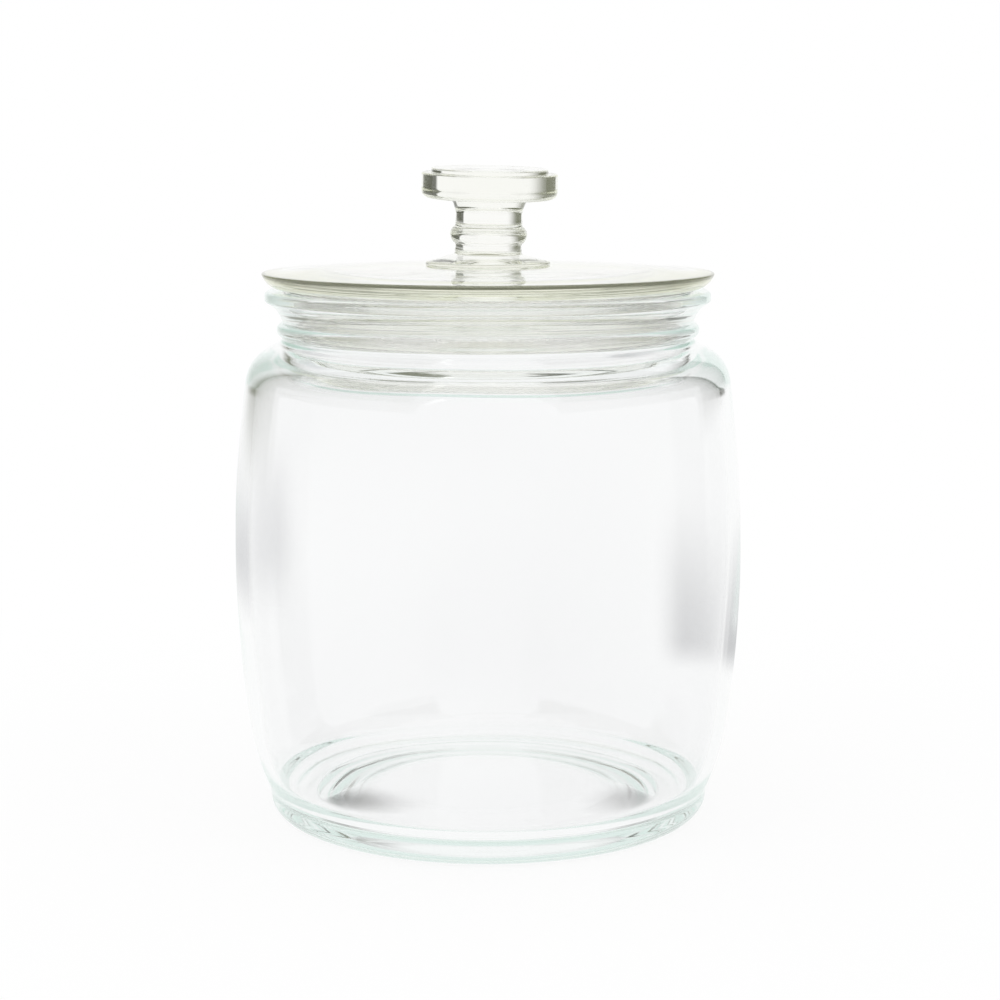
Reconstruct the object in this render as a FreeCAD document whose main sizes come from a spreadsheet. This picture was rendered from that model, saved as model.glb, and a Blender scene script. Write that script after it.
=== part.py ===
"""Barrel-shaped glass storage jar with a glass plug lid and a finned sealing ring.

The jar stands on z = 0 with its axis on z.  Its lid hangs a skirt into the
neck, and the soft ring on that skirt grips the bore with thin fins and cushions
the lid's flange on the rim.  Every piece is turned about the axis, so each one is
a half section in its body's XZ plane, revolved, with rounded edges.
All sizes are in millimetres and live in the spreadsheet "Sizes".
"""

import FreeCAD, Part
import math
import os
import re

import Sketcher

SIZES = [
    # jar, outside
    ("belly_radius", 70.0, "widest radius of the barrel wall"),
    ("belly_height", 72.0, "height of the widest place"),
    ("wall_bow", 340.0, "radius of the barrel wall's curve, seen from the side"),
    ("foot_height", 26.0, "where the wall starts to turn in towards the heel"),
    ("heel_inset", 8.8, "how far the heel's upright band lies inside the widest place"),
    ("heel_height", 7.0, "top of the upright band"),
    ("heel_rounding", 5.0, "rounding under the heel"),
    ("heel_hollow", 7.0, "soft hollow between the upright band and the wall"),
    ("bearing_width", 13.2, "width of the base outside the recess under it"),
    ("punt_depth", 4.4, "depth of the recess under the base"),
    ("punt_slope", 20.0, "width of the recess's curved side"),
    ("punt_rounding", 2.0, "rounding between the recess and the bearing ring"),
    ("shoulder_drop", 18.5, "depth below the rim where the wall would meet the shoulder"),
    ("shoulder_rounding", 12.0, "rounding of the shoulder"),
    # jar, neck and rim
    ("mouth_height", 145.0, "height of the rim's flat top"),
    ("bore_radius", 53.2, "inside radius of the neck"),
    ("neck_wall", 3.3, "thickness of the neck's wall"),
    ("root_drop", 13.6, "depth below the rim where the shoulder's slope meets the neck"),
    ("root_rounding", 1.2, "hollow rounding at the foot of the neck"),
    ("bead_drop", 10.6, "depth of the bead's middle below the rim"),
    ("bead_width", 3.8, "width of the bead round the neck"),
    ("bead_proud", 1.4, "how far the bead stands out"),
    ("flare_drop", 8.1, "depth below the rim where the neck starts to flare out"),
    ("flare_bend", 8.0, "radius of the flare's hollow curve"),
    ("rim_proud", 4.5, "how far the rim stands out from the neck"),
    ("rim_band", 2.8, "height of the rim's upright edge"),
    ("rim_rounding", 1.3, "rounding of the rim's upper edge"),
    ("rim_under_rounding", 0.65, "rounding of the rim's lower edge"),
    # jar, inside
    ("wall", 3.4, "thickness of the barrel wall"),
    ("floor", 7.0, "height of the inside floor"),
    ("corner_rounding", 11.0, "rounding inside, between floor and wall"),
    ("throat_drop", 17.5, "depth below the rim where the shoulder's inside meets the bore"),
    ("throat_rounding", 4.0, "rounding inside, under the bore"),
    ("mouth_rounding", 1.2, "rounding of the rim's inner edge"),
    # lid, plate and skirt
    ("lip_thickness", 0.6, "soft lip that keeps the flange off the rim"),
    ("flange_overhang", 0.8, "how far the flange reaches past the rim"),
    ("flange_height", 4.2, "height of the flange's edge above its flat underside"),
    ("flange_seat", 3.3, "width of the flange's flat underside outside the bore"),
    ("flange_bend", 5.5, "radius of the flange's drawn-in edge curve"),
    ("edge_rounding", 0.35, "rounding of the flange's upper edge"),
    ("dome_rise", 2.2, "rise of the lid's top from the edge to the middle"),
    ("plate", 5.0, "thickness of the lid in the middle"),
    ("seal_space", 4.6, "width of the space between skirt and bore, for the ring"),
    ("skirt_wall", 3.8, "thickness of the skirt at its root"),
    ("skirt_drop", 13.6, "how far the skirt hangs below the flange"),
    ("skirt_draft", 0.5, "how much thinner the skirt is on its inside at the bottom"),
    ("skirt_rounding", 1.1, "rounding of the skirt's lower edges"),
    ("web_rounding", 2.5, "hollow rounding inside, between skirt and plate"),
    ("foot_radius", 17.0, "radius of the disc at the knob's foot"),
    ("foot_step", 0.8, "height of the foot disc's edge above the dome"),
    ("foot_slope", 2.2, "rise of the foot disc from its edge to the stem"),
    ("foot_tuck", 1.5, "how far the foot disc's slope runs on inside the stem"),
    # lid, knob
    ("knob_lean", 2.8, "how far the knob leans from upright, in degrees"),
    ("stem_radius", 9.15, "radius of the stem"),
    ("stem_height", 17.8, "height of the stem from the lid's dome to the grip disc"),
    ("collar_drop", 9.8, "depth of the collar's middle below the grip disc"),
    ("collar_width", 4.8, "height of the stem's bulging collar"),
    ("collar_proud", 1.35, "how far the collar stands out"),
    ("waist_drop", 3.8, "depth below the grip disc where the stem starts to widen"),
    ("waist_bend", 8.0, "radius of the hollow curve under the grip disc"),
    ("waist_flare", 1.5, "how much the stem widens under the grip disc"),
    ("disc_radius", 18.5, "radius of the grip disc"),
    ("disc_thickness", 6.85, "thickness of the grip disc"),
    ("disc_rounding", 2.0, "rounding of the grip disc's lower edge"),
    ("crown_step", 2.6, "width of the step round the top of the grip disc"),
    ("crown_rise", 1.2, "height of that step"),
    ("crown_rounding", 0.5, "rounding of the grip disc's upper edges"),
    # sealing ring
    ("seal_clearance", 0.1, "gap between the ring's sleeve and the skirt"),
    ("sleeve_wall", 1.4, "thickness of the ring's sleeve"),
    ("sleeve_end", 0.8, "height of the sleeve's lower end above the skirt's"),
    ("lip_reach", 2.8, "how far the ring's lip reaches over the rim from the bore"),
    ("fin_clearance", 0.2, "gap between a fin's tip and the bore"),
    ("fin_root", 1.5, "thickness of a fin at its root"),
    ("fin_tip", 0.7, "thickness of a fin at its tip"),
    ("fin_droop", 0.4, "how much lower a fin's tip lies than its root"),
    ("fin_offset", 1.3, "height of the lowest fin's middle above the sleeve's end"),
    ("fin_pitch", 2.6, "distance from one fin to the next"),
    ("fin_count", 4, "number of fins"),
]

KNOB_LEAN_BEARING = 25.0
LEFT, RIGHT = 1, -1
NEAR = 0.01

# Places that several edges or pieces share, as formulas on the named sizes.
HEEL = "belly_radius - heel_inset"
PUNT = HEEL + " - bearing_width"
WALL_CENTRE = "(belly_radius - wall_bow)"
OUTER_WALL = WALL_CENTRE + " + sqrt(wall_bow^2 - (belly_height - ({0}))^2)"
INNER_WALL = WALL_CENTRE + " + sqrt((wall_bow - wall)^2 - (belly_height - ({0}))^2)"
SHOULDER = "mouth_height - shoulder_drop"
INNER_SHOULDER = SHOULDER + " - wall"
THROAT = "mouth_height - throat_drop"
NECK = "bore_radius + neck_wall"
NECK_ROOT = "mouth_height - root_drop"
RIM = NECK + " + rim_proud"
RIM_UNDER = "mouth_height - rim_band"
SEAT = "mouth_height + lip_thickness"
EDGE = SEAT + " + flange_height"
DOME_TOP = EDGE + " + dome_rise"
FLANGE = RIM + " + flange_overhang"
SKIRT = "bore_radius - seal_space"
SKIRT_END = SEAT + " - skirt_drop"
SKIRT_INSIDE = SKIRT + " - skirt_wall"
FOOT_EDGE = DOME_TOP + " + foot_step - dome_rise * (foot_radius / (" + FLANGE + "))^2"
FOOT_TOP = FOOT_EDGE + " + foot_slope * (1 + foot_tuck / (foot_radius - stem_radius))"
SLEEVE_INSIDE = SKIRT + " + seal_clearance"
SLEEVE_OUTSIDE = SLEEVE_INSIDE + " + sleeve_wall"
SLEEVE_END = SKIRT_END + " + sleeve_end"


def write_sizes(doc):
    """Put every driving size into the spreadsheet, one row each, under its alias."""
    sheet = doc.addObject("Spreadsheet::Sheet", "Sizes")
    for row, (alias, value, meaning) in enumerate(SIZES, start=1):
        sheet.set(f"A{row}", alias)
        sheet.set(f"B{row}", str(value))
        sheet.set(f"C{row}", meaning)
        sheet.setAlias(f"B{row}", alias)
    doc.recompute()
    return sheet


def bound(formula):
    """Write a formula on named sizes the way the expression engine reads it."""
    return re.sub(r"\b([a-z]\w*)\b(?!\()", r"Sizes.\1", formula)


def number(owner, formula):
    """Work out a formula on named sizes."""
    return float(owner.evalExpression(bound(formula)))


def origin_plane(body, role):
    """Find one of a body's own origin planes by its role."""
    for feature in body.Origin.OriginFeatures:
        if feature.Role == role:
            return feature
    raise RuntimeError(f"{body.Label} has no {role}")


def arc_between(start, end, bend, turn):
    """Arc of radius bend from start to end that curves to the left or to the right."""
    chord = end - start
    reach = math.sqrt(bend ** 2 - (chord.Length / 2) ** 2)
    normal = FreeCAD.Vector(-chord.y, chord.x, 0).normalize()
    centre = (start + end) * 0.5 + normal * reach * turn
    first, last = (start, end) if turn == LEFT else (end, start)
    first_angle = math.atan2(first.y - centre.y, first.x - centre.x)
    last_angle = math.atan2(last.y - centre.y, last.x - centre.x)
    circle = Part.Circle(centre, FreeCAD.Vector(0, 0, 1), bend)
    return Part.ArcOfCircle(circle, first_angle, last_angle)


def tangent_bend(before, start, end):
    """Radius and side of the arc to end that leaves start in line with the curve before it."""
    centre, turn = before
    heading = FreeCAD.Vector(-(start.y - centre.y), start.x - centre.x, 0).normalize() * turn
    chord = end - start
    sideways = heading.x * chord.y - heading.y * chord.x
    bend = chord.Length ** 2 / (2 * abs(sideways))
    return bend, LEFT if sideways > 0 else RIGHT


def section(body, name, corners):
    """Draw a closed half section: x is the radius, y the height, both formulas.

    A corner is (radius, height) for a straight edge that ends there, or
    (radius, height, bend, side) for an arc of that radius, LEFT or RIGHT of the way
    it runs.  The word "smooth" as bend makes an arc that leaves the arc before it
    with no crease.  Corners with the formula "0" are tied to the sketch's own axes.
    """
    sketch = body.newObject("Sketcher::SketchObject", name)
    sketch.AttachmentSupport = [(origin_plane(body, "XZ_Plane"), "")]
    sketch.MapMode = "FlatFace"
    places = [FreeCAD.Vector(number(sketch, c[0]), number(sketch, c[1]), 0) for c in corners]
    ends = []
    for index, corner in enumerate(corners):
        start, end = places[index - 1], places[index]
        if len(corner) == 2:
            edge = sketch.addGeometry(Part.LineSegment(start, end))
            ends.append((edge, 1, 2))
            continue
        bend, turn = corner[2], corner[3]
        if bend == "smooth":
            radius, turn = tangent_bend(before, start, end)
        else:
            radius = number(sketch, bend)
        arc = arc_between(start, end, radius, turn)
        before = (arc.Center, turn)
        edge = sketch.addGeometry(arc)
        ends.append((edge, 1, 2) if turn == LEFT else (edge, 2, 1))
        if bend == "smooth":
            last = ends[index - 1]
            sketch.addConstraint(Sketcher.Constraint("Tangent", last[0], last[2], edge, ends[index][1]))
        else:
            tie(sketch, Sketcher.Constraint("Radius", edge, radius), bend)
    for index, corner in enumerate(corners):
        edge, first, last = ends[index]
        after, after_first, _ = ends[(index + 1) % len(ends)]
        if corners[(index + 1) % len(ends)][2:3] != ("smooth",):
            sketch.addConstraint(Sketcher.Constraint("Coincident", edge, last, after, after_first))
        for kind, formula, value, axis in (
            ("DistanceX", corner[0], places[index].x, -2),
            ("DistanceY", corner[1], places[index].y, -1),
        ):
            if formula == "0":
                sketch.addConstraint(Sketcher.Constraint("PointOnObject", edge, last, axis))
            else:
                tie(sketch, Sketcher.Constraint(kind, edge, last, value), formula)
    return sketch


def tie(sketch, constraint, formula):
    """Add a dimension to a sketch and bind it to its formula."""
    index = sketch.addConstraint(constraint)
    sketch.setExpression(f"Constraints[{index}]", bound(formula))


def turned(body, kind, name, sketch):
    """Turn a section through a full circle about its own upright axis."""
    feature = body.newObject(f"PartDesign::{kind}", name)
    feature.Profile = sketch
    feature.ReferenceAxis = (sketch, ["V_Axis"])
    feature.Angle = 360
    body.Document.recompute()
    return feature


def is_ring(edge, radius, height):
    """Tell whether an edge is the circle of this radius at this height."""
    if edge.Degenerated or not isinstance(edge.Curve, Part.Circle):
        return False
    circle = edge.Curve
    return abs(circle.Radius - radius) < NEAR and abs(circle.Center.z - height) < NEAR


def rounded(body, name, rounding, rings):
    """Round the circular edges of the body's last feature at these (radius, height) places."""
    base = body.Tip
    names = []
    for radius, height in rings:
        wanted = (number(body, radius), number(body, height))
        found = [
            f"Edge{index}"
            for index, edge in enumerate(base.Shape.Edges, start=1)
            if is_ring(edge, *wanted)
        ]
        if len(found) != 1:
            raise RuntimeError(f"{name}: {len(found)} edges at radius {wanted[0]}, height {wanted[1]}")
        names += found
    fillet = body.newObject("PartDesign::Fillet", name)
    fillet.Base = (base, names)
    fillet.setExpression("Radius", bound(rounding))
    body.Document.recompute()
    return fillet


def make_jar(doc):
    """The jar: a barrel with a heel band, a beaded neck and a flared rim, hollowed out."""
    body = doc.addObject("PartDesign::Body", "jar")
    body.Label = "jar"
    outside = section(body, "JarOutside", [
        ("0", "mouth_height"),
        (RIM, "mouth_height"),
        (RIM, RIM_UNDER),
        (NECK, "mouth_height - flare_drop", "flare_bend", RIGHT),
        (NECK, "mouth_height - bead_drop + bead_width / 2"),
        (NECK, "mouth_height - bead_drop - bead_width / 2",
         "(bead_proud^2 + bead_width^2 / 4) / (2 * bead_proud)", RIGHT),
        (NECK, NECK_ROOT),
        (OUTER_WALL.format(SHOULDER), SHOULDER),
        (OUTER_WALL.format("foot_height"), "foot_height", "wall_bow", RIGHT),
        (HEEL, "heel_height", "smooth", RIGHT),
        (HEEL, "0"),
        (PUNT, "0"),
        (PUNT + " - punt_slope", "punt_depth", "(punt_slope^2 + punt_depth^2) / (2 * punt_depth)", LEFT),
        ("0", "punt_depth"),
    ])
    blank = turned(body, "Revolution", "JarBlank", outside)
    inside = section(body, "JarInside", [
        ("0", "mouth_height"),
        ("bore_radius", "mouth_height"),
        ("bore_radius", THROAT),
        (INNER_WALL.format(INNER_SHOULDER), INNER_SHOULDER),
        (INNER_WALL.format("foot_height"), "foot_height", "wall_bow - wall", RIGHT),
        (HEEL + " - wall", "floor", "smooth", RIGHT),
        ("0", "floor"),
    ])
    hollow = turned(body, "Groove", "JarHollow", inside)
    if hollow.Shape.Volume > blank.Shape.Volume / 2:
        raise RuntimeError("the jar isn't hollowed out")
    rounded(body, "Shoulder", "shoulder_rounding", [(OUTER_WALL.format(SHOULDER), SHOULDER)])
    rounded(body, "InnerShoulder", "shoulder_rounding - wall",
            [(INNER_WALL.format(INNER_SHOULDER), INNER_SHOULDER)])
    rounded(body, "Throat", "throat_rounding", [("bore_radius", THROAT)])
    rounded(body, "NeckRoot", "root_rounding", [(NECK, NECK_ROOT)])
    rounded(body, "InnerCorner", "corner_rounding", [(HEEL + " - wall", "floor")])
    rounded(body, "HeelHollow", "heel_hollow", [(HEEL, "heel_height")])
    rounded(body, "Heel", "heel_rounding", [(HEEL, "0")])
    rounded(body, "PuntEdge", "punt_rounding", [(PUNT, "0")])
    rounded(body, "RimEdge", "rim_rounding", [(RIM, "mouth_height")])
    rounded(body, "RimUnderside", "rim_under_rounding", [(RIM, RIM_UNDER)])
    rounded(body, "MouthEdge", "mouth_rounding", [("bore_radius", "mouth_height")])
    return body


def make_lid(doc):
    """The lid: a domed plate with a drawn-in flange, a skirt and a turned knob, one casting."""
    body = doc.addObject("PartDesign::Body", "lid")
    body.Label = "lid"
    plate = section(body, "LidPlate", [
        ("0", FOOT_TOP),
        ("stem_radius - foot_tuck", FOOT_TOP),
        ("foot_radius", FOOT_EDGE),
        ("foot_radius", FOOT_EDGE + " - foot_step"),
        (FLANGE, EDGE, f"(({FLANGE})^2 + dome_rise^2) / (2 * dome_rise)", RIGHT),
        ("bore_radius + flange_seat", SEAT, "flange_bend", RIGHT),
        (SKIRT, SEAT),
        (SKIRT, SKIRT_END),
        (SKIRT_INSIDE + " + skirt_draft", SKIRT_END),
        (SKIRT_INSIDE, SEAT),
        ("0", DOME_TOP + " - plate",
         f"(({SKIRT_INSIDE})^2 + (dome_rise + flange_height - plate)^2)"
         " / (2 * (dome_rise + flange_height - plate))", LEFT),
    ])
    turned(body, "Revolution", "LidBlank", plate)
    rounded(body, "LidEdge", "edge_rounding", [(FLANGE, EDGE)])
    rounded(body, "SkirtEnd", "skirt_rounding", [
        (SKIRT, SKIRT_END),
        (SKIRT_INSIDE + " + skirt_draft", SKIRT_END),
    ])
    rounded(body, "SkirtRoot", "web_rounding", [(SKIRT_INSIDE, SEAT)])
    rounded(body, "FootDiscEdge", "foot_step / 2", [("foot_radius", FOOT_EDGE)])
    grip_base = "stem_height"
    grip_top = "stem_height + disc_thickness"
    knob = section(body, "KnobSection", [
        ("0", grip_top + " + crown_rise"),
        ("disc_radius - crown_step - crown_rounding", grip_top + " + crown_rise"),
        ("disc_radius - crown_step", grip_top + " + crown_rise - crown_rounding",
         "crown_rounding", RIGHT),
        ("disc_radius - crown_step", grip_top),
        ("disc_radius - crown_rounding", grip_top),
        ("disc_radius", grip_top + " - crown_rounding", "crown_rounding", RIGHT),
        ("disc_radius", grip_base + " + disc_rounding"),
        ("disc_radius - disc_rounding", grip_base, "disc_rounding", RIGHT),
        ("stem_radius + waist_flare", grip_base),
        ("stem_radius", grip_base + " - waist_drop", "waist_bend", LEFT),
        ("stem_radius", grip_base + " - collar_drop + collar_width / 2"),
        ("stem_radius", grip_base + " - collar_drop - collar_width / 2",
         "(collar_proud^2 + collar_width^2 / 4) / (2 * collar_proud)", RIGHT),
        ("stem_radius", "0"),
        ("0", "0"),
    ])
    bearing = math.radians(KNOB_LEAN_BEARING)
    tilt_axis = FreeCAD.Vector(math.cos(bearing), 0, -math.sin(bearing))
    knob.AttachmentOffset = FreeCAD.Placement(FreeCAD.Vector(), FreeCAD.Rotation(tilt_axis, 1))
    knob.setExpression("AttachmentOffset.Base.y", bound(DOME_TOP))
    knob.setExpression("AttachmentOffset.Rotation.Angle", bound("knob_lean"))
    turned(body, "Revolution", "Knob", knob)
    return body


def make_seal(doc):
    """The sealing ring: a sleeve on the skirt, a lip under the flange and a row of fins."""
    body = doc.addObject("PartDesign::Body", "seal_ring")
    body.Label = "seal_ring"
    lip = "bore_radius + lip_reach"
    sleeve = section(body, "SleeveSection", [
        (SLEEVE_INSIDE, SEAT),
        (lip, SEAT),
        (lip, "mouth_height"),
        (SLEEVE_OUTSIDE, "mouth_height"),
        (SLEEVE_OUTSIDE, SLEEVE_END),
        (SLEEVE_INSIDE, SLEEVE_END),
    ])
    turned(body, "Revolution", "Sleeve", sleeve)
    root = SLEEVE_INSIDE + " + sleeve_wall / 2"
    tip = "bore_radius - fin_clearance"
    middle = SLEEVE_END + " + fin_offset"
    fin_section = section(body, "FinSection", [
        (root, middle + " + fin_root / 2"),
        (tip, middle + " - fin_droop + fin_tip / 2"),
        (tip, middle + " - fin_droop - fin_tip / 2"),
        (root, middle + " - fin_root / 2"),
    ])
    fin = turned(body, "Revolution", "Fin", fin_section)
    fins = body.newObject("PartDesign::LinearPattern", "Fins")
    fins.Originals = [fin]
    fins.Direction = (fin_section, ["V_Axis"])
    fins.setExpression("Length", bound("fin_pitch * (fin_count - 1)"))
    fins.setExpression("Occurrences", bound("fin_count"))
    body.Tip = fins
    doc.recompute()
    if fins.Shape.Volume <= fin.Shape.Volume:
        raise RuntimeError("the ring's fins aren't repeated")
    return body


def check(doc, bodies):
    """Stop if an object failed to recompute or a piece isn't one sound solid."""
    doc.recompute()
    for item in doc.Objects:
        if "Invalid" in item.State or "Error" in item.State:
            raise RuntimeError(f"{item.Label} failed: {item.State}")
    for body in bodies:
        shape = body.Shape
        if shape.isNull() or not shape.isValid() or len(shape.Solids) != 1:
            raise RuntimeError(f"{body.Label} isn't one valid solid")


doc = FreeCAD.newDocument("storage_jar")
write_sizes(doc)
pieces = [make_jar(doc), make_lid(doc), make_seal(doc)]
check(doc, pieces)
os.makedirs("parts", exist_ok=True)
for piece in pieces:
    piece.Shape.exportStep(f"parts/{piece.Label}.step")
    box = piece.Shape.BoundBox
    print(f"{piece.Label}: {piece.Shape.Volume / 1000:.1f} cm3, z {box.ZMin:.2f} to {box.ZMax:.2f}")
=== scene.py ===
"""Looks of a glass storage jar with a plug lid: the jar, its soft sealing ring and the lid."""

import math

import bpy
import numpy as np
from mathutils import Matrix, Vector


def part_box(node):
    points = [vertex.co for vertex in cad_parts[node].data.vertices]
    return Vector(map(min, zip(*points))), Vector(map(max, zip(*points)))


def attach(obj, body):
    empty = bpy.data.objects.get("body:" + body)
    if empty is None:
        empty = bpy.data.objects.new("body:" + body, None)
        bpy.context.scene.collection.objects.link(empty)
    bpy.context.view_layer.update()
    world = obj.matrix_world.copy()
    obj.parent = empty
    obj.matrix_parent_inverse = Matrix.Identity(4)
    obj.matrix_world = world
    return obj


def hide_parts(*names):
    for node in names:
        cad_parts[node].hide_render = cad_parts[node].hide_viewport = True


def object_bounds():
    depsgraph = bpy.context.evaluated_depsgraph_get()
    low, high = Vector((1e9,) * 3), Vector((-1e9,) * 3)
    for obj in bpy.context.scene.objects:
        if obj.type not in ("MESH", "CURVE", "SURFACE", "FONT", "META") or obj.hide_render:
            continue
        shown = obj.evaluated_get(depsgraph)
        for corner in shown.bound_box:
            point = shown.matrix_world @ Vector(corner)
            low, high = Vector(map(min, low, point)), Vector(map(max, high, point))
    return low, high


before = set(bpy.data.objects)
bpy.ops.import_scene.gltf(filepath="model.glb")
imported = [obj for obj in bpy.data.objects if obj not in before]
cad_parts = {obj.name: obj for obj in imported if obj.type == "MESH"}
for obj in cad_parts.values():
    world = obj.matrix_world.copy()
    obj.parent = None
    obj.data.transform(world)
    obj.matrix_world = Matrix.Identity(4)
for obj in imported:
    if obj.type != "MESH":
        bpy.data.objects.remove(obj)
cad_low, cad_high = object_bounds()

# ---------------------------------------------------------------- the jar
# A barrel of clear, faintly green soda-lime glass, pressed in a mould and finished by
# blowing.  The floor and heel are thick, the wall is even and the neck carries a bead
# and a flared rim.  It stands on a narrow ring round a shallow recess.

# Sizes are in millimetres here, and the mesh is written in metres.
_, jar_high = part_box("jar")
belly_radius = round(jar_high.x * 1000, 1)
mouth_height = round(jar_high.z * 1000, 1)
belly_height = 72.0
wall_bow = 340.0
wall = 3.4
floor = 7.0
heel_radius = belly_radius - 8.8
heel_height = 7.0
foot_height = 26.0
punt_radius = heel_radius - 13.2
punt_depth = 4.4
punt_slope = 20.0
shoulder_height = mouth_height - 18.5
bore_radius = 53.2
neck_radius = bore_radius + 3.3
rim_radius = neck_radius + 4.5
flare_height = mouth_height - 8.1
bead_height = mouth_height - 10.6
bead_half = 1.9
bead_proud = 1.4
throat_height = mouth_height - 17.5
neck_root = mouth_height - 13.6
rim_under = mouth_height - 2.8
flare_bend = -8.0
punt_rounding = 2.0
heel_rounding = 5.0
heel_hollow = 7.0
shoulder_rounding = 12.0
root_rounding = 1.2
bead_rounding = 0.3
rim_under_rounding = 0.65
rim_rounding = 1.3
mouth_rounding = 1.2
throat_rounding = 4.0
corner_rounding = 11.0


def line(start, end, steps=60):
    """Points on a straight edge: start plus a growing share of the way to end."""
    return np.linspace(start, end, steps)


def arc(start, end, bend, steps=160):
    """Points on a circle through start and end: its radius is the size of bend.

    Its centre lies on the left of the way for a positive bend, else on the right.
    """
    start, end = np.array(start, float), np.array(end, float)
    chord = end - start
    half = np.hypot(*chord) / 2
    reach = math.copysign(math.sqrt(bend ** 2 - half ** 2), bend)
    centre = (start + end) / 2 + np.array([-chord[1], chord[0]]) * reach / (2 * half)
    swing = math.copysign(2 * math.asin(half / abs(bend)), bend)
    angles = math.atan2(*(start - centre)[::-1]) + np.linspace(0, swing, steps)
    return centre + abs(bend) * np.stack([np.cos(angles), np.sin(angles)], axis=1)


def bulge(start, end, rise):
    """An arc that stands out to the right of the way from start to end by this rise."""
    half = math.dist(start, end) / 2
    return arc(start, end, (rise ** 2 + half ** 2) / (2 * rise))


def onward(edge, end):
    """The arc from an edge's end to another point that leaves the edge with no crease.

    Its radius is the chord squared over twice the chord's offset from the edge's heading.
    """
    heading = edge[-1] - edge[-2]
    heading = heading / np.hypot(*heading)
    chord = np.array(end) - edge[-1]
    offset = heading[0] * chord[1] - heading[1] * chord[0]
    return arc(edge[-1], end, chord @ chord / (2 * offset))


def headings(points):
    """Unit vectors along a row of points, each from the point before to the point after."""
    step = np.gradient(points, axis=0)
    return step / np.hypot(*step.T)[:, None]


def joined(edges):
    """One profile from edges, each given with the radius that rounds the corner at its end.

    A corner that turns by an angle a is cut back by radius * tan(a / 2) on both sides and
    closed with a cubic curve whose handles are 4/3 * tan(a / 4) * radius long.
    """
    turns = []
    for (edge, _), (after, _) in zip(edges, edges[1:] + edges[:1]):
        turns.append(math.acos(np.clip(headings(edge)[-1] @ headings(after)[0], -1, 1)))
    cuts = [
        radius * math.tan(turn / 2) if radius else 0.0
        for (_, radius), turn in zip(edges, turns)
    ]
    kept = []
    for index, (edge, _) in enumerate(edges):
        run = np.append(0, np.cumsum(np.hypot(*np.diff(edge, axis=0).T)))
        places = np.linspace(cuts[index - 1], run[-1] - cuts[index], len(edge))
        kept.append(np.stack([np.interp(places, run, side) for side in edge.T], axis=1))
    parts = []
    share = np.linspace(0, 1, 34)[1:-1, None]
    for index, (_, radius) in enumerate(edges):
        edge, after = kept[index], kept[(index + 1) % len(kept)]
        parts.append(edge[:-1] if not radius and index < len(edges) - 1 else edge)
        if not radius:
            continue
        out, into = headings(edge)[-1], headings(after)[0]
        handle = 4 / 3 * math.tan(math.acos(np.clip(out @ into, -1, 1)) / 4) * radius
        first, second = edge[-1] + out * handle, after[0] - into * handle
        parts.append(
            (1 - share) ** 3 * edge[-1] + 3 * (1 - share) ** 2 * share * first
            + 3 * (1 - share) * share ** 2 * second + share ** 3 * after[0]
        )
    return np.concatenate(parts)


def spread(profile, count, looped, pitch=1.4, swing=3.0):
    """The profile again with count points, and the heading at each.

    They are even along a measure that adds one for each pitch in millimetres and one for each
    swing in degrees of turn, so that they crowd where the profile bends.
    """
    if looped:
        profile = np.append(profile, profile[:1], axis=0)
    step = np.diff(profile, axis=0)
    angle = np.unwrap(np.arctan2(step[:, 1], step[:, 0]))
    measure = np.hypot(*step.T) / pitch + np.abs(np.gradient(angle)) / math.radians(swing)
    run = np.append(0, np.cumsum(measure))
    places = np.linspace(0, run[-1], count, endpoint=not looped)
    ways = headings(profile)
    points = np.stack([np.interp(places, run, side) for side in profile.T], axis=1)
    ways = np.stack([np.interp(places, run, side) for side in ways.T], axis=1)
    return points, ways


def quads_between(rows):
    """Four-sided faces between neighbouring rows of vertex numbers, each row closed on itself."""
    rows = np.append(rows, rows[:, :1], axis=1)
    corners = [rows[:-1, :-1], rows[:-1, 1:], rows[1:, 1:], rows[1:, :-1]]
    return np.stack(corners, axis=2).reshape(-1, 4)


def fan(tip, ends):
    """Three-sided faces from one vertex to each two neighbours on a closed row."""
    return np.stack([np.full_like(ends, tip), ends, np.roll(ends, -1)], axis=1)


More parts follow.
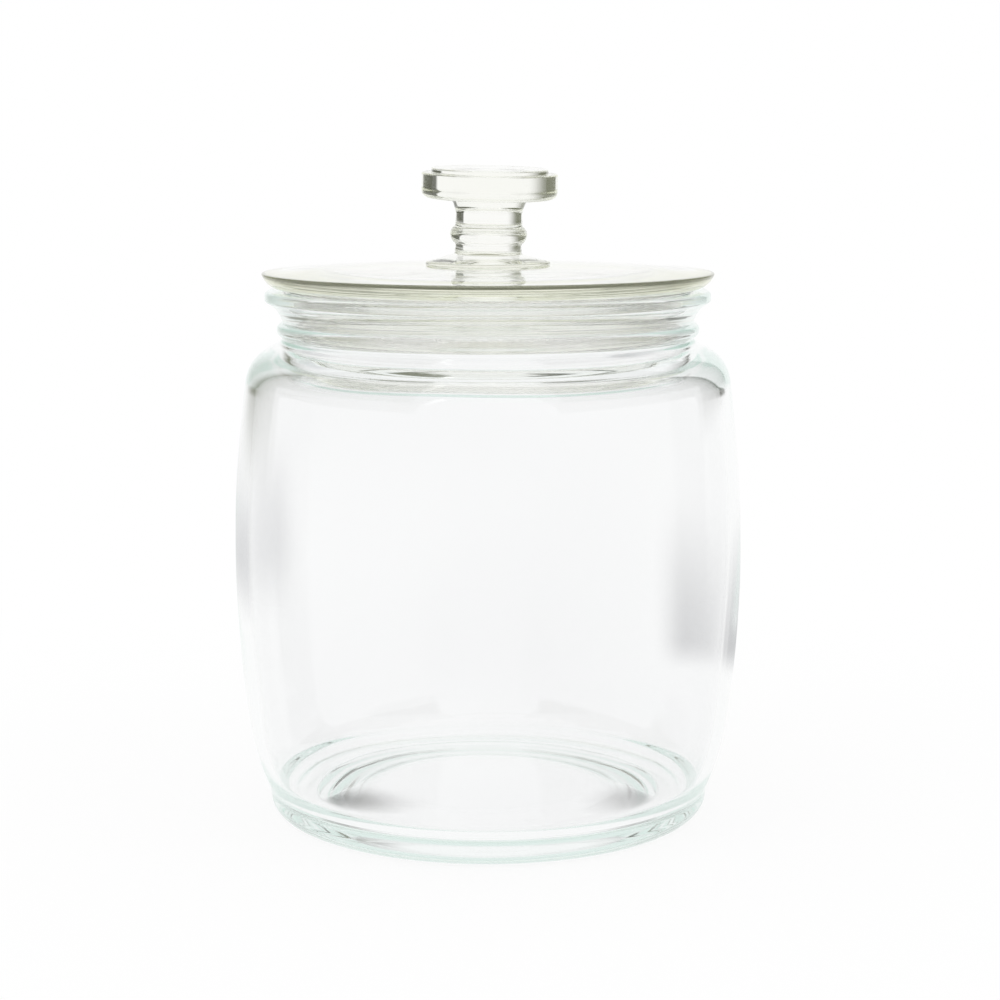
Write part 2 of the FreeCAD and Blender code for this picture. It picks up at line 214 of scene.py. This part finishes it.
def turned(name, profile, count, looped=False, shape=lambda points: points, turns=256):
    """A closed surface: the profile turned about z, then carried through a smooth map.

    A point at radius r, height z and angle a lies at (r cos a, r sin a, z).  The profile keeps
    the material on its left, so that around x along points outwards, and each vertex normal is
    that product of the two directions after the map.
    """
    points, ways = spread(profile, count, looped)
    angle = np.arange(turns) * 2 * math.pi / turns
    ring = np.stack([np.cos(angle), np.sin(angle), 0 * angle], axis=1)
    across = np.stack([-np.sin(angle), np.cos(angle), 0 * angle], axis=1)
    up = np.array([0.0, 0.0, 1.0])
    places = points[:, None, :1] * ring + points[:, None, 1:] * up
    along = ways[:, None, :1] * ring + ways[:, None, 1:] * up
    small = 1e-4
    mapped = shape(places)
    along = shape(places + small * along) - mapped
    around = shape(places + small * across) - mapped
    normals = np.cross(around, along)
    normals /= np.linalg.norm(normals, axis=2)[..., None]
    rows = np.arange(count * turns).reshape(count, turns)
    if looped:
        faces = quads_between(np.append(rows, rows[:1], axis=0)).tolist()
        mapped, normals = mapped.reshape(-1, 3), normals.reshape(-1, 3)
    else:
        # The first and last rows shrink to one vertex each, numbered 0 and last.
        mapped[[0, -1]] = mapped[[0, -1]].mean(axis=1, keepdims=True)
        used = np.r_[0, turns:(count - 1) * turns, count * turns - 1]
        mapped, normals = mapped.reshape(-1, 3)[used], normals.reshape(-1, 3)[used]
        rows = rows[1:-1] - turns + 1
        last = len(used) - 1
        faces = quads_between(rows).tolist()
        faces += fan(0, rows[0])[:, [0, 2, 1]].tolist()
        faces += fan(last, rows[-1]).tolist()
    mesh = bpy.data.meshes.new(name)
    mesh.from_pydata((mapped / 1000).tolist(), [], faces)
    mesh.polygons.foreach_set("use_smooth", np.ones(len(faces), bool))
    mesh.validate()
    mesh.normals_split_custom_set_from_vertices(normals.tolist())
    piece = bpy.data.objects.new(name, mesh)
    bpy.context.scene.collection.objects.link(piece)
    return piece


def barrel(inset, top, foot_radius, bottom):
    """The barrel wall from a height down to the heel, this far inside the widest circle.

    Radius = (belly radius - bow) + sqrt((bow - inset)^2 - (belly height - z)^2), then an arc
    that leaves it with no crease.
    """
    centre = belly_radius - wall_bow
    bow = wall_bow - inset

    def radius(height):
        return centre + math.sqrt(bow ** 2 - (belly_height - height) ** 2)

    side = arc((radius(top), top), (radius(foot_height), foot_height), -bow, steps=400)
    return side, onward(side, (foot_radius, bottom))


outer_side, outer_foot = barrel(0, shoulder_height, heel_radius, heel_height)
inner_side, inner_foot = barrel(wall, shoulder_height - wall, heel_radius - wall, floor)
punt_bend = (punt_slope ** 2 + punt_depth ** 2) / (2 * punt_depth)
bead_foot = (neck_radius, bead_height - bead_half)
bead_top = (neck_radius, bead_height + bead_half)
jar_profile = joined([
    (line((0, punt_depth), (punt_radius - punt_slope, punt_depth)), 0),
    (arc((punt_radius - punt_slope, punt_depth), (punt_radius, 0), -punt_bend), punt_rounding),
    (line((punt_radius, 0), (heel_radius, 0)), heel_rounding),
    (line((heel_radius, 0), (heel_radius, heel_height)), heel_hollow),
    (outer_foot[::-1], 0),
    (outer_side[::-1], shoulder_rounding),
    (line(outer_side[0], (neck_radius, neck_root)), root_rounding),
    (line((neck_radius, neck_root), bead_foot), bead_rounding),
    (bulge(bead_foot, bead_top, bead_proud), bead_rounding),
    (line(bead_top, (neck_radius, flare_height)), 0),
    (arc((neck_radius, flare_height), (rim_radius, rim_under), flare_bend), rim_under_rounding),
    (line((rim_radius, rim_under), (rim_radius, mouth_height)), rim_rounding),
    (line((rim_radius, mouth_height), (bore_radius, mouth_height)), mouth_rounding),
    (line((bore_radius, mouth_height), (bore_radius, throat_height)), throat_rounding),
    (line((bore_radius, throat_height), inner_side[0]), shoulder_rounding - wall),
    (inner_side, 0),
    (inner_foot, corner_rounding),
    (line((heel_radius - wall, floor), (0, floor)), 0),
])


def pressed(points):
    """Draws the surface in by up to 0.12 mm in a slow pattern of waves, as pressed glass has.

    The depth is a sum of three sines of angle, height and radius, from 0 to 1.
    """
    x, y, z = points[..., 0], points[..., 1], points[..., 2]
    radius, angle = np.hypot(x, y), np.arctan2(y, x)
    depth = (
        np.sin(3 * angle + 0.07 * z + 0.9 * radius)
        + np.sin(7 * angle - 0.11 * z + 0.5 * radius + 1.3)
        + np.sin(2 * angle + 0.23 * z + 2.1)
    ) / 6 + 0.5
    share = 1 - 0.12 * depth / np.maximum(radius, 40)
    return points * np.stack([share, share, np.ones_like(share)], axis=-1)


class Value:
    """A shader socket that sums, products and differences can be written with."""

    def __init__(self, socket):
        self.socket = socket
        self.tree = socket.id_data

    def maths(self, operation, first, second):
        """Add a Math node of this operation on two sockets or numbers."""
        return add(self.tree, "ShaderNodeMath", {"operation": operation}, {0: first, 1: second})

    def __add__(self, other):
        return self.maths("ADD", self, other)

    def __radd__(self, other):
        return self.maths("ADD", other, self)

    def __sub__(self, other):
        return self.maths("SUBTRACT", self, other)

    def __rsub__(self, other):
        return self.maths("SUBTRACT", other, self)

    def __mul__(self, other):
        return self.maths("MULTIPLY", self, other)

    def __rmul__(self, other):
        return self.maths("MULTIPLY", other, self)


def add(tree, kind, settings=None, inputs=None, output=0):
    """Add any node: its settings first, then its sockets' values or links. Gives one output."""
    node = tree.nodes.new(kind)
    for name, value in (settings or {}).items():
        setattr(node, name, value)
    for name, value in (inputs or {}).items():
        if isinstance(value, Value):
            tree.links.new(value.socket, node.inputs[name])
        else:
            node.inputs[name].default_value = value
    return Value(node.outputs[output])


def blank(data):
    """Switch a material or world to nodes and clear them."""
    data.use_nodes = True
    data.node_tree.nodes.clear()
    return data.node_tree


def finish(tree, kind, **sockets):
    """Add the output node of a material or world and link what goes into it."""
    node = tree.nodes.new(kind)
    for name, value in sockets.items():
        tree.links.new(value.socket, node.inputs[name])


def noise(tree, scale, detail):
    """Noise on the piece's own coordinates, from 0 to 1: a finer layer for each one of detail."""
    place = add(tree, "ShaderNodeTexCoord", output="Object")
    return add(tree, "ShaderNodeTexNoise", None, {
        "Vector": place, "Scale": scale, "Detail": detail,
    })


def rising(value, start, width):
    """A smooth step from 0 to 1 as the value goes from start over this width."""
    return add(value.tree, "ShaderNodeMapRange", {"interpolation_type": "SMOOTHSTEP"}, {
        "Value": value, "From Min": start, "From Max": start + width,
    })


def place_parts(tree):
    """The x, y and z of a piece's own coordinates, in metres."""
    place = add(tree, "ShaderNodeTexCoord", output="Object")
    split = tree.nodes.new("ShaderNodeSeparateXYZ")
    tree.links.new(place.socket, split.inputs[0])
    return [Value(split.outputs[axis]) for axis in range(3)]


def axis_distance(x, y):
    """Distance from the z axis."""
    return x.maths("SQRT", x * x + y * y, 0.0)


def let_out(surface, level, bounces=12):
    """The surface, but light that has bounced this often leaves at this level.

    Without this, light that a thick wall guides round and round would be lost as grey lines.
    """
    tree = surface.tree
    path = tree.nodes.new("ShaderNodeLightPath")
    tired = surface.maths("GREATER_THAN", Value(path.outputs["Ray Depth"]), bounces - 0.5)
    white = add(tree, "ShaderNodeEmission", None, {"Color": (*level, 1), "Strength": 1.0})
    return add(tree, "ShaderNodeMixShader", None, {0: tired, 1: surface, 2: white})


def glass(name, tint, film, level, wave, relief, brim=None):
    """Clear glass that darkens with depth by its tint, with a slow wave in its skin.

    The skin holds back a little light, in soft clouds between none and the film's colour.
    A brim, given as a radius and height in millimetres, is a sharp outer edge: what stands
    past both gets a painted shade, a dark colour in its skin for the dark line that a sharp
    edge shows as it throws most of its light aside.
    """
    clouds, soft, painted_brim_shade = 14, 0.0004, (0.16, 0.165, 0.12, 1)
    material = bpy.data.materials.new(name)
    tree = blank(material)
    bump = add(tree, "ShaderNodeBump", None, {
        "Height": noise(tree, wave, 1.0), "Strength": relief, "Distance": 0.001,
    })
    skin = add(tree, "ShaderNodeMix", {"data_type": "RGBA"}, {
        0: noise(tree, clouds, 1.0), 6: (1, 1, 1, 1), 7: (*film, 1),
    }, output=2)
    # Painted shade: past the brim's radius and height the skin turns dark, for the dark line at a
    # sharp glass edge.
    if brim:
        x, y, z = place_parts(tree)
        brim_shade_mask = rising(axis_distance(x, y), brim[0] / 1000, soft) * rising(z, brim[1] / 1000, soft)
        skin = add(tree, "ShaderNodeMix", {"data_type": "RGBA"}, {
            0: brim_shade_mask, 6: skin, 7: painted_brim_shade,
        }, output=2)
    surface = add(tree, "ShaderNodeBsdfPrincipled", None, {
        "Base Color": skin, "Roughness": 0.0, "IOR": 1.52, "Transmission Weight": 1.0,
        "Normal": bump,
    })
    inside = add(tree, "ShaderNodeVolumeAbsorption", None, {"Color": (*tint, 1), "Density": 10.0})
    finish(tree, "ShaderNodeOutputMaterial", Surface=let_out(surface, level), Volume=inside)
    return material


jar = turned("jar_glass", jar_profile, 250, shape=pressed)
jar.data.materials.append(glass(
    "jar_glass", tint=(0.83, 0.91, 0.88), film=(0.94, 0.94, 0.945), level=(0.86, 0.92, 0.90),
    wave=30, relief=0.08,
))
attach(jar, "root")
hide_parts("jar")

# ---------------------------------------------------------------- the sealing ring
# A soft ring of milky plastic pushed up the lid's skirt.  Its lip lies under the lid's flange,
# and four thin fins round its sleeve bend against the bore and hold the lid.

seat = mouth_height + 0.6
skirt_radius = bore_radius - 4.6
skirt_end = seat - 13.6
sleeve_inside = skirt_radius + 0.1
sleeve_outside = sleeve_inside + 1.4
sleeve_end = skirt_end + 0.8
lip_radius = bore_radius + 2.8
fin_root = sleeve_outside - 0.7
fin_end = bore_radius - 0.2
fin_count = 4
fin_pitch = 2.6
first_fin = sleeve_end + 1.3
root_half = 0.75
tip_half = 0.35
droop = 0.4
fin_rounding = 0.25
fin_hollow = 0.2
lip_rounding = 0.2
lip_hollow = 0.3

# The lip stays this far off the rim and the flange, so that no two faces lie in one place.
lip_gap = 0.05
lip_under = mouth_height + lip_gap
lip_over = seat - lip_gap

ring_edges = [(line((sleeve_inside, sleeve_end), (sleeve_outside, sleeve_end)), fin_rounding)]
reached = sleeve_end
share = (sleeve_outside - fin_root) / (fin_end - fin_root)
for index in range(fin_count):
    middle = first_fin + index * fin_pitch
    under = middle - root_half + share * (root_half - droop - tip_half)
    over = middle + root_half + share * (tip_half - droop - root_half)
    tip_low = (fin_end, middle - droop - tip_half)
    tip_high = (fin_end, middle - droop + tip_half)
    ring_edges += [
        (line((sleeve_outside, reached), (sleeve_outside, under)), fin_hollow),
        (line((sleeve_outside, under), tip_low), fin_rounding),
        (line(tip_low, tip_high), fin_rounding),
        (line(tip_high, (sleeve_outside, over)), fin_hollow),
    ]
    reached = over
ring_edges += [
    (line((sleeve_outside, reached), (sleeve_outside, lip_under)), lip_hollow),
    (line((sleeve_outside, lip_under), (lip_radius, lip_under)), lip_rounding),
    (line((lip_radius, lip_under), (lip_radius, lip_over)), lip_rounding),
    (line((lip_radius, lip_over), (sleeve_inside, lip_over)), lip_rounding),
    (line((sleeve_inside, lip_over), (sleeve_inside, sleeve_end)), fin_rounding),
]


def soft_plastic(name):
    """Milky, slightly yellowed soft plastic: cloudy, part clear, with a dull skin."""
    material = bpy.data.materials.new(name)
    tree = blank(material)
    cloud = noise(tree, 60, 2.0)
    grain = noise(tree, 900, 0.0)
    colour = add(tree, "ShaderNodeMix", {"data_type": "RGBA"}, {
        0: cloud, 6: (0.990, 0.990, 0.972, 1), 7: (0.998, 0.998, 0.985, 1),
    }, output=2)
    bump = add(tree, "ShaderNodeBump", None, {
        "Height": grain, "Strength": 0.15, "Distance": 0.0002,
    })
    surface = add(tree, "ShaderNodeBsdfPrincipled", None, {
        "Base Color": colour, "Roughness": 0.12 + 0.15 * cloud, "IOR": 1.3,
        "Transmission Weight": 0.98, "Normal": bump,
    })
    finish(tree, "ShaderNodeOutputMaterial", Surface=let_out(surface, (0.92, 0.92, 0.85)))
    return material


ring = turned("seal_ring_soft", joined(ring_edges), 380, looped=True)
ring.data.materials.append(soft_plastic("milky_seal"))
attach(ring, "root")
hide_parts("seal_ring")

# ---------------------------------------------------------------- the lid
# One heavy casting of slightly olive glass: a domed plate with a drawn-in flange, a skirt
# that hangs into the neck, and a turned knob that came out of its mould a little askew.

edge_height = seat + 4.2
dome_rise = 2.2
dome_top = edge_height + dome_rise
flange_radius = rim_radius + 0.8
flange_foot = bore_radius + 3.3
flange_curve = 5.5
edge_rounding = 0.35
skirt_inside = skirt_radius - 3.8
skirt_tip = skirt_inside + 0.5
skirt_rounding = 1.1
web_rounding = 2.5
plate_under = dome_top - 5.0
foot_radius = 17.0
foot_step = 0.8
foot_edge = dome_top + foot_step - dome_rise * (foot_radius / flange_radius) ** 2
foot_under = foot_edge - foot_step
stem_radius = 9.15
stem_foot = foot_edge + 2.2
grip_under = dome_top + 17.8
grip_top = grip_under + 6.85
grip_radius = 18.5
crown_radius = grip_radius - 2.6
crown_top = grip_top + 1.2
grip_rounding = 2.0
crown_rounding = 0.5
collar_height = grip_under - 9.8
collar_half = 2.4
collar_proud = 1.35
waist_height = grip_under - 3.8
waist_bend = -8.0
waist_radius = stem_radius + 1.5
hollow = 0.2
dome_bend = (flange_radius ** 2 + dome_rise ** 2) / (2 * dome_rise)
under_rise = plate_under - seat
under_bend = (skirt_inside ** 2 + under_rise ** 2) / (2 * under_rise)
collar_foot = (stem_radius, collar_height - collar_half)
collar_top = (stem_radius, collar_height + collar_half)

lid_profile = joined([
    (arc((0, plate_under), (skirt_inside, seat), -under_bend), web_rounding),
    (line((skirt_inside, seat), (skirt_tip, skirt_end)), skirt_rounding),
    (line((skirt_tip, skirt_end), (skirt_radius, skirt_end)), skirt_rounding),
    (line((skirt_radius, skirt_end), (skirt_radius, seat)), hollow),
    (line((skirt_radius, seat), (flange_foot, seat)), hollow),
    (arc((flange_foot, seat), (flange_radius, edge_height), flange_curve), edge_rounding),
    (arc((flange_radius, edge_height), (foot_radius, foot_under), dome_bend), hollow),
    (line((foot_radius, foot_under), (foot_radius, foot_edge)), 0.3),
    (line((foot_radius, foot_edge), (stem_radius, stem_foot)), 0.5),
    (line((stem_radius, stem_foot), collar_foot), 0.4),
    (bulge(collar_foot, collar_top, collar_proud), hollow),
    (line(collar_top, (stem_radius, waist_height)), 0),
    (arc((stem_radius, waist_height), (waist_radius, grip_under), waist_bend), 0.3),
    (line((waist_radius, grip_under), (grip_radius, grip_under)), grip_rounding),
    (line((grip_radius, grip_under), (grip_radius, grip_top)), crown_rounding),
    (line((grip_radius, grip_top), (crown_radius, grip_top)), hollow),
    (line((crown_radius, grip_top), (crown_radius, crown_top)), crown_rounding),
    (line((crown_radius, crown_top), (0, crown_top)), 0),
])

# The knob leans this far, about a level line at this angle from +X.
lean = math.radians(2.8)
lean_line = math.radians(25.0)
lean_grows_over = 3.0


def leaning(points):
    """Turns what stands above the foot disc about a level line through the dome's top.

    The angle grows smoothly from none to the whole lean between the foot disc's edge and the
    stem, as t * t * (3 - 2 * t).
    """
    share = np.clip((points[..., 2] - foot_edge) / lean_grows_over, 0, 1)
    angle = lean * share * share * (3 - 2 * share)
    axis = np.array([math.cos(lean_line), math.sin(lean_line), 0.0])
    arm = points - np.array([0, 0, dome_top])
    side = np.cross(np.broadcast_to(axis, arm.shape), arm)
    along = (arm @ axis)[..., None] * axis
    turned_arm = along + (arm - along) * np.cos(angle)[..., None] + side * np.sin(angle)[..., None]
    return turned_arm + np.array([0, 0, dome_top])


# Past its flange edge the lid's skin carries a band of painted shade.
lid = turned("lid_glass", lid_profile, 330, shape=leaning)
lid.data.materials.append(glass(
    "lid_glass", tint=(0.89, 0.90, 0.79), film=(0.96, 0.96, 0.94), level=(0.85, 0.86, 0.76),
    wave=35, relief=0.1, brim=(flange_radius - 1.2, edge_height - 1.2),
))
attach(lid, "root")
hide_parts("lid")

# ---------------------------------------------------------------- the studio
# A pale table and a wide white backdrop, as for glass in a catalogue: white all round, with
# curved dark cards left and right, out of the straight line of sight, that draw the edges.

scene = bpy.context.scene
scene.view_settings.view_transform = "Standard"
clear_bounces = 24
scene.cycles.max_bounces = clear_bounces
scene.cycles.transmission_bounces = clear_bounces
scene.cycles.glossy_bounces = clear_bounces
scene.cycles.diffuse_bounces = 8


def pool(x, y, middle, reach, depth):
    """A soft oval of shade on the table: depth at its middle, and none past its reach."""
    across = (x - middle[0]) * (1 / reach[0])
    along = (y - middle[1]) * (1 / reach[1])
    return depth * rising(1.0 - axis_distance(across, along), 0.0, 1.0)


def table(radius=4.0, below=0.0002, sides=96):
    """A round table top just under the jar, with two pools of shade inside the jar's foot.

    Seen straight on or through the glass it is nearly all plain white, and all of it far off.
    Near the jar a part stays matt, and takes the jar's shadow.
    """
    angle = np.arange(sides) * 2 * math.pi / sides
    edge = np.stack([radius * np.cos(angle), radius * np.sin(angle), 0 * angle - below], axis=1)
    mesh = bpy.data.meshes.new("table_top")
    mesh.from_pydata(edge.tolist(), [], [list(range(sides))])
    top = bpy.data.objects.new("table_top", mesh)
    scene.collection.objects.link(top)
    material = bpy.data.materials.new("white_table")
    tree = blank(material)
    x, y, _ = place_parts(tree)
    far = axis_distance(x, y)
    path = tree.nodes.new("ShaderNodeLightPath")
    straight = Value(path.outputs["Is Camera Ray"])
    mirrored = Value(path.outputs["Is Glossy Ray"])
    bent = Value(path.outputs["Is Transmission Ray"])
    left_pool = pool(x, y, middle=(-0.052, -0.009), reach=(0.038, 0.024), depth=1.1)
    right_pool = pool(x, y, middle=(0.054, -0.011), reach=(0.030, 0.030), depth=0.95)
    inside_foot = 1.0 - rising(far, 0.045, 0.004)
    shade = (left_pool + right_pool) * inside_foot * (1.0 - straight)
    white = add(tree, "ShaderNodeEmission", None, {"Color": (1, 1, 1, 1), "Strength": 1.0 - shade})
    matt = add(tree, "ShaderNodeBsdfDiffuse", None, {"Color": (0.92, 0.92, 0.92, 1)})
    share = (0.92 + 0.08 * rising(far, 0.08, 0.25)) * (straight + mirrored + bent)
    both = add(tree, "ShaderNodeMixShader", None, {0: share, 1: matt, 2: white})
    finish(tree, "ShaderNodeOutputMaterial", Surface=both)
    mesh.materials.append(material)
    return top


table()


def backdrop():
    """A white room: a plain level on matt pieces, and white where it is seen or mirrored."""
    world = bpy.data.worlds.new("studio")
    scene.world = world
    tree = blank(world)
    path = tree.nodes.new("ShaderNodeLightPath")
    matt = Value(path.outputs["Is Diffuse Ray"])
    shade = add(tree, "ShaderNodeBackground", None, {
        "Color": (1, 1, 1, 1), "Strength": 1.0 - 0.1 * matt,
    })
    finish(tree, "ShaderNodeOutputWorld", Surface=shade)


backdrop()


def card(name, radius, bearings, fade, heights, lift, shade):
    """A dark card bent round the object's axis, which only mirrored and bent light meets.

    It runs between two bearings, in degrees from +Y towards +X, and between two heights in
    metres.  It fades in over this many degrees at its first bearing, over 4 at the other,
    over this lift at its foot and over 60 mm at its top.
    """
    strips, outer_fade, top_fade = 48, 4, 0.06
    (inner, outer), (low, high) = bearings, heights
    across = np.radians(np.linspace(inner, outer, strips + 1))[:, None]
    up = np.array([low, high])[None, :]
    sheet = np.broadcast_arrays(radius * np.sin(across), radius * np.cos(across), up)
    corners = np.arange(strips)[:, None] * 2 + np.array([0, 2, 3, 1])
    mesh = bpy.data.meshes.new(name)
    mesh.from_pydata(np.stack(sheet, axis=2).reshape(-1, 3).tolist(), [], corners.tolist())
    panel = bpy.data.objects.new(name, mesh)
    scene.collection.objects.link(panel)
    material = bpy.data.materials.new(name)
    tree = blank(material)
    x, y, z = place_parts(tree)
    side = math.copysign(1, outer)
    bearing = side * x.maths("ARCTAN2", x, y)
    cover = rising(bearing, math.radians(abs(inner)), math.radians(fade))
    cover = cover * rising(-1.0 * bearing, -math.radians(abs(outer)), math.radians(outer_fade))
    cover = cover * rising(z, low, lift) * rising(-1.0 * z, -high, top_fade)
    dark = add(tree, "ShaderNodeEmission", None, {"Color": (*shade, 1), "Strength": 1.0})
    clear = add(tree, "ShaderNodeBsdfTransparent")
    both = add(tree, "ShaderNodeMixShader", None, {0: cover, 1: clear, 2: dark})
    finish(tree, "ShaderNodeOutputMaterial", Surface=both)
    mesh.materials.append(material)
    panel.visible_camera = False
    panel.visible_diffuse = False
    panel.visible_shadow = False


# Two tall cards beside the view, two high ones for the knob, two low ones for the wall.
card("card_left", 0.42, (-22, -72), 22, (0.04, 0.46), 0.11, (0.19, 0.20, 0.14))
card("card_right", 0.42, (35, 72), 4, (0.09, 0.46), 0.05, (0.07, 0.075, 0.05))
card("card_left_high", 0.44, (-62, -150), 6, (0.19, 0.90), 0.03, (0.12, 0.13, 0.07))
card("card_right_high", 0.44, (62, 150), 6, (0.19, 0.90), 0.03, (0.07, 0.075, 0.045))
card("card_left_low", 0.25, (-20, -60), 6, (0.0, 0.09), 0.035, (0.74, 0.74, 0.75))
card("card_right_low", 0.17, (22, 60), 6, (0.0, 0.07), 0.015, (0.62, 0.62, 0.63))


def lamp(name, place, size, power):
    """A soft square lamp at a place in metres that faces the object's middle."""
    data = bpy.data.lights.new(name, "AREA")
    data.size = size
    data.energy = power
    thing = bpy.data.objects.new(name, data)
    scene.collection.objects.link(thing)
    thing.location = place
    away = thing.location - (cad_low + cad_high) / 2
    thing.rotation_euler = away.to_track_quat("Z", "Y").to_euler()


lamp("soft_lamp_left", (-1.1, -0.9, 1.5), size=1.0, power=6.0)
lamp("soft_lamp_right", (1.2, -0.7, 1.3), size=1.0, power=4.0)

# The camera stands 0.63 m in front of the axis, a little higher than the knob.
looks_down = math.radians(8.95)
camera_data = bpy.data.cameras.new("camera")
camera_data.lens = 82.8
camera = bpy.data.objects.new("camera", camera_data)
camera.location = (0.00327, -0.631, 0.186)
camera.rotation_euler = (math.pi / 2 - looks_down, 0, 0)
scene.collection.objects.link(camera)
scene.camera = camera
